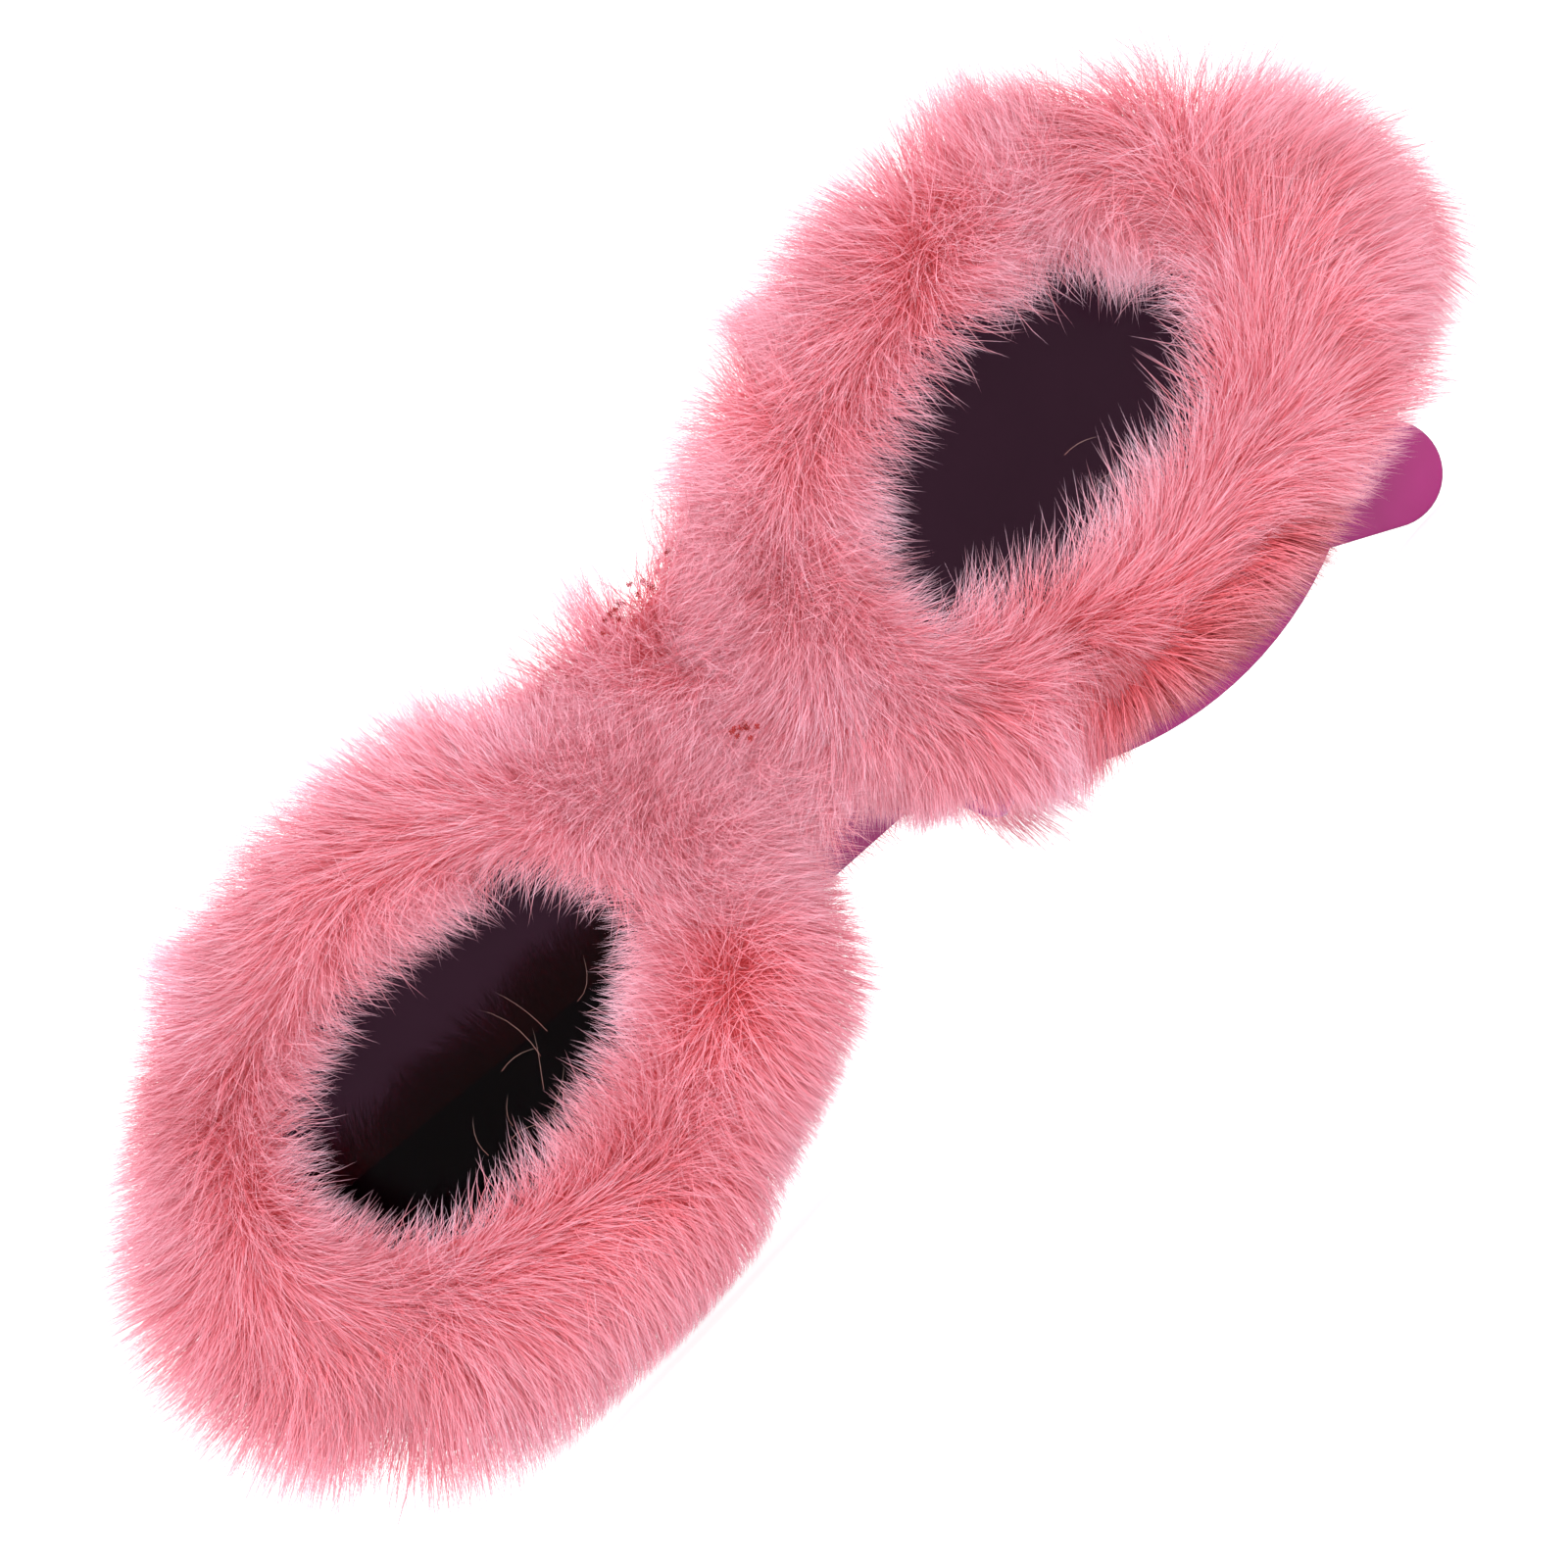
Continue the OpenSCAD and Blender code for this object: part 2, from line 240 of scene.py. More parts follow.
def gather(line, rng):
    """Draws each strand's tip towards the strand in the middle of its clump."""
    count = len(line)
    guides = rng.choice(count, max(1, count // CLUMP_SIZE), replace=False)
    tree = KDTree(len(guides))
    for i, g in enumerate(guides):
        tree.insert(Vector(line[g, 2]), i)
    tree.balance()
    near = np.array([tree.find(Vector(p))[1] for p in line[:, 2]])
    t = np.linspace(0, 1, STEPS + 1) ** 1.6
    strength = CLUMP_PULL * rng.uniform(0.35, 1.0, count)
    goal = line[guides[near]]
    return line + (goal - line) * (strength[:, None] * t[None])[:, :, None]


def strand_mesh(name, line, shade, rng, radius=STRAND_R):
    """One mesh of tapered strands. Its UV map holds each strand's shade and the way along it."""
    count = len(line)
    way = unit(np.diff(line, axis=1))
    way = np.concatenate([way[:, :1], way], axis=1)
    side = unit(np.cross(way, unit(rng.normal(size=(count, 1, 3)))))
    other = np.cross(way, side)
    width = radius * rng.uniform(*STRAND_R_SPREAD, (count, 1)) * TAPER[None]
    rings = []
    for s in range(SIDES):
        a = 2 * math.pi * s / SIDES
        round_way = side[:, :STEPS] * math.cos(a) + other[:, :STEPS] * math.sin(a)
        rings.append(line[:, :STEPS] + round_way * width[:, :, None])
    rings = np.stack(rings, axis=2).reshape(count, STEPS * SIDES, 3)
    verts = np.concatenate([rings, line[:, STEPS:]], axis=1)
    per = STEPS * SIDES + 1
    quads, tips = [], []
    for i in range(STEPS - 1):
        for s in range(SIDES):
            n = (s + 1) % SIDES
            low, high = i * SIDES, (i + 1) * SIDES
            quads.append([low + s, low + n, high + n, high + s])
    last = (STEPS - 1) * SIDES
    for s in range(SIDES):
        tips.append([last + s, last + (s + 1) % SIDES, per - 1])
    base = (np.arange(count) * per)[:, None]
    local = np.concatenate([np.array(quads).ravel(), np.array(tips).ravel()])
    loops = (base + local[None]).ravel().astype(np.int32)
    totals = np.tile([4] * len(quads) + [3] * len(tips), count)
    starts = np.concatenate([[0], np.cumsum(totals)[:-1]]).astype(np.int32)
    mesh = bpy.data.meshes.new(name)
    mesh.vertices.add(count * per)
    mesh.vertices.foreach_set("co", (verts * MM).astype(np.float32).ravel())
    mesh.loops.add(len(loops))
    mesh.loops.foreach_set("vertex_index", loops)
    mesh.polygons.add(len(starts))
    mesh.polygons.foreach_set("loop_start", starts)
    mesh.polygons.foreach_set("use_smooth", np.ones(len(starts), bool))
    along = np.concatenate([np.repeat(np.arange(STEPS), SIDES), [STEPS]]) / STEPS
    uv = np.stack([np.repeat(shade, len(local)), np.tile(along[local], count)], axis=1)
    layer = mesh.uv_layers.new(name="OFBake")
    layer.data.foreach_set("uv", uv.astype(np.float32).ravel())
    mesh.update(calc_edges=True)
    return put(name, mesh)


def put(name, mesh):
    o = bpy.data.objects.new(name, mesh)
    bpy.context.scene.collection.objects.link(o)
    return o


def new_material(name):
    mat = bpy.data.materials.new(name)
    mat.use_nodes = True
    tree = mat.node_tree
    return mat, tree, tree.nodes["Principled BSDF"]


def node(tree, kind, **inputs):
    n = tree.nodes.new(kind)
    for k, v in inputs.items():
        n.inputs[k.replace("_", " ")].default_value = v
    return n


def set_ramp(n, stops):
    ramp = n.color_ramp
    while len(ramp.elements) > 1:
        ramp.elements.remove(ramp.elements[-1])
    ramp.elements[0].position, ramp.elements[0].color = stops[0][0], (*stops[0][1], 1)
    for at, colour in stops[1:]:
        ramp.elements.new(at).color = (*colour, 1)


def give(obj, mat):
    obj.data.materials.clear()
    obj.data.materials.append(mat)


# ---------------------------------------------------------------- materials
def fur_material():
    """Pink pile: deep at root, pale at tip, each strand its own shade, and a painted glow for light
    through it.
    """
    mat, tree, shader = new_material("fur_pile")
    uv = tree.nodes.new("ShaderNodeUVMap")
    uv.uv_map = "OFBake"
    split = tree.nodes.new("ShaderNodeSeparateXYZ")
    tree.links.new(uv.outputs["UV"], split.inputs["Vector"])
    along = tree.nodes.new("ShaderNodeValToRGB")
    set_ramp(along, [
        (0.0, (0.84, 0.12, 0.13)),
        (0.35, (0.83, 0.21, 0.25)),
        (0.70, (0.80, 0.30, 0.37)),
        (1.0, (0.83, 0.48, 0.58)),
    ])
    tree.links.new(split.outputs["Y"], along.inputs["Fac"])
    tint = tree.nodes.new("ShaderNodeValToRGB")
    set_ramp(tint, [
        (0.0, (0.42, 0.18, 0.16)),
        (0.10, (0.80, 0.62, 0.60)),
        (0.25, (0.95, 0.86, 0.86)),
        (0.60, (1.0, 1.0, 1.0)),
        (1.0, (1.05, 1.45, 1.45)),
    ])
    tree.links.new(split.outputs["X"], tint.inputs["Fac"])
    mix = tree.nodes.new("ShaderNodeMix")
    mix.data_type, mix.blend_type = "RGBA", "MULTIPLY"
    mix.inputs[0].default_value = 1.0
    tree.links.new(along.outputs["Color"], mix.inputs[6])
    tree.links.new(tint.outputs["Color"], mix.inputs[7])
    tree.links.new(mix.outputs[2], shader.inputs["Base Color"])
    # Painted light: a faint glow in the pile's own colour, for light that passes through the fibres
    tree.links.new(mix.outputs[2], shader.inputs["Emission Color"])
    shader.inputs["Emission Strength"].default_value = PAINTED_GLOW
    shader.inputs["Roughness"].default_value = 0.55
    shader.inputs["Specular IOR Level"].default_value = 0.2
    return mat


def plastic_material():
    """Glossy moulded magenta plastic with softened edges."""
    mat, tree, shader = new_material("plastic_magenta")
    place = tree.nodes.new("ShaderNodeTexCoord")
    noise = node(tree, "ShaderNodeTexNoise", Scale=180.0, Detail=3.0)
    tree.links.new(place.outputs["Object"], noise.inputs["Vector"])
    ramp = tree.nodes.new("ShaderNodeValToRGB")
    set_ramp(ramp, [(0.3, (0.32, 0.008, 0.15)), (0.7, (0.37, 0.012, 0.18))])
    tree.links.new(noise.outputs["Fac"], ramp.inputs["Fac"])
    tree.links.new(ramp.outputs["Color"], shader.inputs["Base Color"])
    bevel = node(tree, "ShaderNodeBevel", Radius=0.0006)
    bevel.samples = 6
    tree.links.new(bevel.outputs["Normal"], shader.inputs["Normal"])
    shader.inputs["Roughness"].default_value = 0.16
    shader.inputs["Specular IOR Level"].default_value = 0.35
    shader.inputs["Coat Weight"].default_value = 0.15
    shader.inputs["Coat Roughness"].default_value = 0.08
    return mat


def lens_material():
    """Dark see-through tint with faint smears."""
    mat, tree, shader = new_material("lens_dark")
    place = tree.nodes.new("ShaderNodeTexCoord")
    noise = node(tree, "ShaderNodeTexNoise", Scale=70.0, Detail=4.0)
    tree.links.new(place.outputs["Object"], noise.inputs["Vector"])
    ramp = tree.nodes.new("ShaderNodeValToRGB")
    set_ramp(ramp, [(0.3, (0.018, 0.006, 0.012)), (0.7, (0.021, 0.007, 0.014))])
    tree.links.new(noise.outputs["Fac"], ramp.inputs["Fac"])
    tree.links.new(ramp.outputs["Color"], shader.inputs["Base Color"])
    smear = node(tree, "ShaderNodeMapRange", To_Min=0.0, To_Max=0.03)
    tree.links.new(noise.outputs["Fac"], smear.inputs["Value"])
    tree.links.new(smear.outputs["Result"], shader.inputs["Roughness"])
    shader.inputs["Transmission Weight"].default_value = 1.0
    shader.inputs["IOR"].default_value = LENS_IOR
    return mat


def hair_material():
    """Dull brownish pink for the hairs that lie on the lenses."""
    mat, tree, shader = new_material("loose_hair")
    uv = tree.nodes.new("ShaderNodeUVMap")
    uv.uv_map = "OFBake"
    split = tree.nodes.new("ShaderNodeSeparateXYZ")
    tree.links.new(uv.outputs["UV"], split.inputs["Vector"])
    along = tree.nodes.new("ShaderNodeValToRGB")
    set_ramp(along, [(0.0, (0.36, 0.17, 0.15)), (1.0, (0.46, 0.32, 0.29))])
    tree.links.new(split.outputs["Y"], along.inputs["Fac"])
    tree.links.new(along.outputs["Color"], shader.inputs["Base Color"])
    shader.inputs["Roughness"].default_value = 0.5
    return mat


def steel_material():
    """Brushed steel for the hinges."""
    mat, tree, shader = new_material("steel_brushed")
    place = tree.nodes.new("ShaderNodeTexCoord")
    stretch = node(tree, "ShaderNodeMapping", Scale=(900.0, 900.0, 9000.0))
    tree.links.new(place.outputs["Object"], stretch.inputs["Vector"])
    noise = node(tree, "ShaderNodeTexNoise", Scale=1.0, Detail=2.0)
    tree.links.new(stretch.outputs["Vector"], noise.inputs["Vector"])
    rough = node(tree, "ShaderNodeMapRange", To_Min=0.25, To_Max=0.45)
    tree.links.new(noise.outputs["Fac"], rough.inputs["Value"])
    tree.links.new(rough.outputs["Result"], shader.inputs["Roughness"])
    shader.inputs["Base Color"].default_value = (0.62, 0.62, 0.64, 1)
    shader.inputs["Metallic"].default_value = 1.0
    return mat


def backing_material():
    """Salmon cloth that the pile is woven into, with a painted glow for light through the pile."""
    mat, tree, shader = new_material("fur_backing")
    place = tree.nodes.new("ShaderNodeTexCoord")
    noise = node(tree, "ShaderNodeTexNoise", Scale=900.0, Detail=3.0)
    tree.links.new(place.outputs["Object"], noise.inputs["Vector"])
    ramp = tree.nodes.new("ShaderNodeValToRGB")
    set_ramp(ramp, [(0.3, (0.72, 0.15, 0.18)), (0.7, (0.80, 0.24, 0.28))])
    tree.links.new(noise.outputs["Fac"], ramp.inputs["Fac"])
    tree.links.new(ramp.outputs["Color"], shader.inputs["Base Color"])
    bump = node(tree, "ShaderNodeBump", Strength=0.5, Distance=0.0002)
    tree.links.new(noise.outputs["Fac"], bump.inputs["Height"])
    tree.links.new(bump.outputs["Normal"], shader.inputs["Normal"])
    # Painted light: a faint glow in the cloth's own colour, for light that passes through the pile
    tree.links.new(ramp.outputs["Color"], shader.inputs["Emission Color"])
    shader.inputs["Emission Strength"].default_value = PAINTED_GLOW
    shader.inputs["Roughness"].default_value = 0.9
    return mat


# ---------------------------------------------------------------- stage, light, camera
def make_stage(ground):
    """A pale floor that curves up into a wall all round, seen as one plain surface."""
    profile = [(r, 0.0) for r in (0.0, 0.2, 0.5, 0.8, FLOOR_FLAT)]
    for i in range(1, 13):
        a = math.radians(90 * i / 12)
        out, rise = FLOOR_BEND * math.sin(a), FLOOR_BEND * (1 - math.cos(a))
        profile.append((FLOOR_FLAT + out, rise))
    profile.append((FLOOR_FLAT + FLOOR_BEND, FLOOR_TOP))
    bm = bmesh.new()
    rows = []
    for r, h in profile:
        ring = []
        for t in range(FLOOR_TURNS if r else 1):
            a = 2 * math.pi * t / FLOOR_TURNS
            ring.append(bm.verts.new((r * math.cos(a), r * math.sin(a), ground + h)))
        rows.append(ring)
    for low, high in zip(rows, rows[1:]):
        for t in range(FLOOR_TURNS):
            n = (t + 1) % FLOOR_TURNS
            if len(low) == 1:
                bm.faces.new((low[0], high[t], high[n]))
            else:
                bm.faces.new((low[t], high[t], high[n], low[n]))
    mesh = bpy.data.meshes.new("studio_floor")
    bm.to_mesh(mesh)
    bm.free()
    mesh.shade_smooth()
    floor = put("studio_floor", mesh)
    mat, tree, shader = new_material("studio_white")
    shader.inputs["Base Color"].default_value = (0.35, 0.35, 0.35, 1)
    shader.inputs["Roughness"].default_value = 0.9
    shader.inputs["Specular IOR Level"].default_value = 0.0
    shader.inputs["Emission Color"].default_value = (1, 1, 1, 1)
    shader.inputs["Emission Strength"].default_value = 0.85
    give(floor, mat)


def make_light():
    """Soft white light from all round, with three large lamps aimed at the middle."""
    world = bpy.data.worlds.new("studio")
    world.use_nodes = True
    world.node_tree.nodes["Background"].inputs["Color"].default_value = (1, 1, 1, 1)
    world.node_tree.nodes["Background"].inputs["Strength"].default_value = 1.0
    bpy.context.scene.world = world
    for name, place, size, power in LIGHTS:
        lamp = bpy.data.lights.new(name, "AREA")
        lamp.shape, lamp.size, lamp.energy = "DISK", size, power
        o = bpy.data.objects.new(name, lamp)
        o.location = place
        o.rotation_euler = (-Vector(place)).to_track_quat("-Z", "Y").to_euler()
        bpy.context.scene.collection.objects.link(o)


def make_camera():
    """The photograph's own view: nearly level, and rolled so that the glasses run upwards."""
    a, e, roll = (math.radians(v) for v in (CAMERA_AZIMUTH, CAMERA_ELEVATION, CAMERA_ROLL))
    back = Vector((math.sin(a) * math.cos(e), -math.cos(a) * math.cos(e), math.sin(e)))
    right = Vector((math.cos(a), math.sin(a), 0))
    up = back.cross(right)
    across = right * math.cos(roll) - up * math.sin(roll)
    high = right * math.sin(roll) + up * math.cos(roll)
    data = bpy.data.cameras.new("camera")
    data.sensor_width = SENSOR
    data.lens = SENSOR * CAMERA_DISTANCE / VIEW_WIDTH
    cam = bpy.data.objects.new("camera", data)
    place = Vector(CAMERA_TARGET) * MM + back * CAMERA_DISTANCE
    turn = Matrix((across, high, back)).transposed().to_4x4()
    cam.matrix_world = Matrix.Translation(place) @ turn
    data.clip_start, data.clip_end = 0.01, 20
    bpy.context.scene.collection.objects.link(cam)
    bpy.context.scene.camera = cam
    bpy.context.scene.view_settings.view_transform = "Standard"


# ---------------------------------------------------------------- fur on the front
def mm_box(name):
    """The box of a CAD node, in mm."""
    low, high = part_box(name)
    return np.array(low) / MM, np.array(high) / MM


def wrap_y(x):
    """How far back the front's curve is, x away from its middle."""
    return WRAP_R - np.sqrt(WRAP_R**2 - x**2)


def smoothstep(low, high, v):
    """0 below low and 1 above high, with a soft step between. It falls if low is above high."""
    t = np.clip((v - low) / (high - low), 0, 1)
    return t * t * (3 - 2 * t)


def drifting(root, two_waves, seed):
    """Which way the strands at root stray, in broad and fine waves."""
    (broad, much), (fine, little) = two_waves
    return waves(root, broad, seed + 2) * much + waves(root, fine, seed + 3) * little


def lens_centre(side):
    """The middle of the lens, in mm."""
    low, high = mm_box("lens_left" if side < 0 else "lens_right")
    return (low + high) / 2


def ring_frame(side, angle, across):
    """Points on the backing round one lens: across is 0 at the window and 1 at the outer edge."""
    centre = lens_centre(side)
    edge = RIM_HALF[1] + np.where(np.sin(angle) < 0, EDGE_LOW[side], EDGE_OUT)
    inner = np.stack([WINDOW_HALF[0] * np.cos(angle), WINDOW_Z + WINDOW_HALF[1] * np.sin(angle)], 1)
    outer = np.stack([(RIM_HALF[0] + EDGE_OUT) * np.cos(angle), edge * np.sin(angle)], 1)
    flat = inner + (outer - inner) * across[:, None]
    out2 = unit(np.stack([np.cos(angle) / RIM_HALF[0], np.sin(angle) / RIM_HALF[1]], 1))
    x = centre[0] + flat[:, 0]
    lift = DOME * np.sin(math.pi * np.clip(across, 0, 1)) ** 0.7 + 0.3
    place = np.stack([x, wrap_y(x) - lift, flat[:, 1]], 1)
    out = np.stack([out2[:, 0], out2[:, 0] * x / WRAP_R, out2[:, 1]], 1)
    ahead = unit(np.stack([x / WRAP_R, -np.ones(len(x)), np.zeros(len(x))], 1))
    return place, unit(out), ahead


def ring_fur(side, count, seed):
    """The pile round one lens, parted along a ring: outwards beyond it and inwards within it."""
    rng = np.random.default_rng(seed)
    angle = rng.uniform(0, 2 * math.pi, count)
    across = rng.uniform(0, 1, count) ** 0.9
    root, out, ahead = ring_frame(side, angle, across)
    keep = side * root[:, 0] > 0.4
    root, out, ahead, angle, across = (v[keep] for v in (root, out, ahead, angle, across))
    count = len(root)
    high, low = np.clip(np.sin(angle), 0, 1), np.clip(-np.sin(angle), 0, 1)
    inside = smoothstep(0.35, 0.0, across)
    corner = np.clip(np.cos(angle - math.radians(CORNER_ANGLE[side])), 0, 1) ** 6
    crease = np.exp(-(((root[:, 0] - CREASE_X) / CREASE_WIDE) ** 2))
    crease = crease * smoothstep(-4, -7, root[:, 2]) * smoothstep(-15, -12, root[:, 2])
    tuft = np.exp(-((root[:, 0] - TUFT[0]) ** 2 + (root[:, 2] - TUFT[1]) ** 2) / TUFT_R**2)

    length = PILE_LENGTH - SHORTER_INSIDE * smoothstep(0.45, 0.0, across)
    length = length - SHORTER_OUTSIDE * smoothstep(0.6, 1.0, across)
    far = smoothstep(0.3, 1.0, side * np.cos(angle))
    longer = END_LONGER[side] * far + CORNER_LONGER[side] * corner
    length = length + longer * smoothstep(0.5, 0.9, across)
    length = length + (FRINGE[side] + GAP_LIFT[side] * low) * inside
    nose = smoothstep(14.0, 6.0, side * root[:, 0]) * smoothstep(0.0, -6.0, root[:, 2])
    length = length * (1 - NOSE_SHORTER * nose)
    length = length * rng.uniform(*LENGTH_SPREAD, count)
    length = length * (1 + TUFT_LONGER * tuft) * (1 - CREASE_SHORTER * crease)

    # fall is -1 where the pile lies inwards, 0 at the parting and 1 where it lies outwards
    sway = PARTING_WAVE[1] * waves(root, PARTING_WAVE[0], seed + 1)[:, 0]
    parting = np.maximum(PARTING + sway, PARTING_MIN)
    fall = smoothstep(parting - PARTING_WIDE[0], parting + PARTING_WIDE[1], across)
    fall = 2 * fall - 1
    drift = drifting(root, RING_WAVES, seed)
    drift = drift * (0.35 + 0.65 * smoothstep(0.0, 0.4, across))[:, None]
    loose = rng.normal(size=(count, 3)) * (LOOSE * (1 - np.abs(fall)))[:, None]
    aim = ahead * RISE + out * (fall * SPLAY)[:, None] + drift * 0.35 + loose * 0.5
    spread = SPREAD - SPREAD_TOP * high + CORNER_SPREAD[side] * corner
    lean = out * (fall * spread)[:, None] + drift + loose - ahead * BOW
    lean[:, 0] -= fall * (COMB_TOP * high + COMB_LOW * low)
    along = np.cross(out, ahead)
    flow = TURN_FLOW + TURN_WAVE[1] * waves(root, TURN_WAVE[0], seed + 4)[:, 1]
    flow = (flow * (1 - fall**2))[:, None]
    lean = lean + along * flow
    aim = aim + along * flow * TURN_START
    lean[:, 2] -= SAG + SAG_LOW * low * smoothstep(0.2, 0.6, across)
    lean[:, 2] += TUFT_LIFT * tuft

    shade = SHADE_RING + SHADE_SPREAD * rng.normal(size=count)
    shade = shade + SHADE_INSIDE * smoothstep(0.20, 0.0, across)
    shade = shade + SHADE_WAVE[1] * waves(root, SHADE_WAVE[0], seed + 6)[:, 0]
    # Painted shade: strands in the crease are darkened for the shade that falls between them
    shade = shade * (1 - CREASE_PAINTED_SHADE * crease)
    return root, aim, lean, length, low_edge_darker_shade(root, shade)


def low_edge_darker_shade(root, shade):
    """The strands' shades, with those along the lower edge below the right lens made darker."""
    worn = smoothstep(WORN_Z + 6, WORN_Z + 1, root[:, 2]) * worn_stretch(root[:, 0])
    return np.clip(shade * (1 - LOW_EDGE_DARKER * worn), *SHADE_RANGE)


def worn_stretch(x):
    """1 along the worn edge and 0 away from it."""
    left, right = WORN_X
    return smoothstep(left - 4, left + 2, x) * smoothstep(right + 4, right - 2, x)


def trimmed(line, rng):
    """Cuts short the front's strands that hang past the lower edge of the pile."""
    root, tip = line[:, 0], line[:, -1]
    edge = np.interp(tip[:, 0], *zip(*TRIM_EDGE)) + rng.normal(size=len(line)) * TRIM_ROUGH
    upper = (root[:, 2] > WORN_Z + 3.5) * worn_stretch(tip[:, 0])
    edge = edge + upper * rng.uniform(*WORN_BARE, len(line))
    on_front = (root[:, 1] < FRONT_DEPTH) & (root[:, 0] < TRIM_EDGE[-1][0])
    hang = np.maximum(root[:, 2] - tip[:, 2], 0.1)
    part = np.clip((root[:, 2] - edge) / hang, TRIM_SHORTEST, 1)
    part = np.where(on_front & (tip[:, 2] < edge), part, 1.0)
    return root[:, None] + (line - root[:, None]) * part[:, None, None]


def bridge_place(x, z):
    """Points on the fur's backing over the bridge."""
    swell = BRIDGE_SWELL * np.cos(np.clip((z - BRIDGE_MID_Z) / 14, -1, 1) * 1.4)
    return np.stack([x, wrap_y(x) - 1.2 - swell, z], -1)


def bridge_fur(side, count, seed):
    """The pile on one half of the bridge, which lies over the seam between the halves."""
    rng = np.random.default_rng(seed)
    x = side * rng.uniform(BRIDGE_X[0], BRIDGE_X[1], count)
    z = rng.uniform(BRIDGE_Z[0], BRIDGE_Z[1], count)
    root = bridge_place(x, z)
    ahead = unit(np.stack([x / WRAP_R, -np.ones(count), (z - BRIDGE_MID_Z) * 0.045], 1))
    drift = drifting(root, BRIDGE_WAVES, seed)
    aim = ahead + drift * 0.35
    lean = drift * 1.2 - ahead * BOW
    lean[:, 0] += side * (0.7 * smoothstep(0.0, 9.0, np.abs(x)) - 0.2)
    lean[:, 2] += 0.6 * smoothstep(14, 20, z) - 0.30
    length = BRIDGE_LENGTH * rng.uniform(*LENGTH_SPREAD, count)
    shade = SHADE_BRIDGE + SHADE_SPREAD * rng.normal(size=count)
    shade = shade + SHADE_WAVE[1] * waves(root, SHADE_WAVE[0], seed + 6)[:, 0]
    return root, aim, lean, length, low_edge_darker_shade(root, shade)


def specks(seed):
    """Dark red crumbs of glue caught in the pile: one spot at the bridge, more along its top."""
    rng = np.random.default_rng(seed)
    spot, seam = GLUE_CRUMBS, SEAM_CRUMBS
    x = [GLUE_SPOT[0] + rng.normal(size=spot) * 0.7, rng.uniform(*SEAM_X, seam)]
    z = [GLUE_SPOT[1] + rng.normal(size=spot) * 0.6, SEAM_Z + rng.normal(size=seam) * 0.5]
    depth = [rng.uniform(*GLUE_DEPTH, spot), rng.uniform(*SEAM_DEPTH, seam)]
    x, z, depth = (np.concatenate(v) for v in (x, z, depth))
    centre = np.repeat(np.stack([x, wrap_y(x) - depth, z], 1), CRUMB_BITS, axis=0)
    count = len(centre)
    aim = unit(rng.normal(size=(count, 3)))
    return centre - aim * 0.3, aim, aim * 0, rng.uniform(*CRUMB_LENGTH, count), np.zeros(count)


def lens_hairs(word, side, count, seed):
    """A few long loose hairs that lie curled over a lens."""
    rng = np.random.default_rng(seed)
    centre = lens_centre(side)
    x = centre[0] + rng.uniform(*HAIR_X, count)
    z = centre[2] + rng.uniform(*HAIR_Z, count)
    root = np.stack([x, wrap_y(x) - 2.2, z], 1)
    turn = rng.uniform(0, 2 * math.pi, count)
    aim = np.stack([np.cos(turn), rng.uniform(-0.3, 0.0, count), np.sin(turn)], 1)
    curl = np.stack([-np.sin(turn), np.zeros(count), np.cos(turn)], 1)
    lean = curl * rng.choice(HAIR_CURLS, count)[:, None]
    line = grow(root, aim, lean, rng.uniform(*HAIR_LENGTH, count), rng)
    hairs = strand_mesh(f"loose_hairs_{word}", line, np.full(count, 0.5), rng, HAIR_R)
    give(hairs, loose_hair)
    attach(hairs, "front")


def above_ground(line):
    """Bends what would reach below the ground, so that it lies on it."""
    low = ground / MM + REST_ABOVE
    z = line[..., 2]
    bent = low + REST_SOFT * np.exp((z - low - REST_SOFT) / REST_SOFT)
    line[..., 2] = np.where(z < low + REST_SOFT, bent, z)
    return line


def pile_piece(name, parts, seed, body, stands_for):
    """One piece of fur, from sets of roots, directions, leans, lengths and shades."""
    rng = np.random.default_rng(seed)
    root, aim, lean, length, shade = (np.concatenate(v) for v in zip(*parts))
    line = grow(root, aim, lean, length, rng)
    line = gather(line, rng)
    line = trimmed(line, rng)
    line = above_ground(line)
    fur = strand_mesh(name, line, shade, rng)
    give(fur, pile)
    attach(fur, body)
    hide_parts(stands_for)
    return fur


# ---------------------------------------------------------------- fur on the temples
def arm_frame(side):
    """The temple's own axes at rest: its hinge, along, up and outwards, in mm."""
    name = "left_temple_open" if side < 0 else "right_temple_fold"
    hinge = np.array(joints[name]["pos_m"]) / MM
    slope = math.radians(TEMPLE_SLOPE)
    if side < 0:
        ahead, outward = np.array([1.0, 0, 0]), np.array([0, 1.0, 0])
    else:
        ahead, outward = np.array([0, 1.0, 0]), np.array([1.0, 0, 0])
    rise = np.array([0, 0, 1.0])
    along = ahead * math.cos(slope) - rise * math.sin(slope)
    up = ahead * math.sin(slope) + rise * math.cos(slope)
    return hinge, along, up, outward


def temple_place(side, u, phi, inset=0.0):
    """Points on the fur's backing round a temple, u along it and phi round it, and the way out."""
    hinge, along, up, outward = arm_frame(side)
    tall, deep = (h - inset for h in TEMPLE_FUR_HALF)
    sin, cos = np.sin(phi)[..., None], np.cos(phi)[..., None]
    place = hinge + along * u[..., None] + up * (tall * sin) + outward * (TEMPLE_FACE + deep * cos)
    return place, outward * cos + up * sin


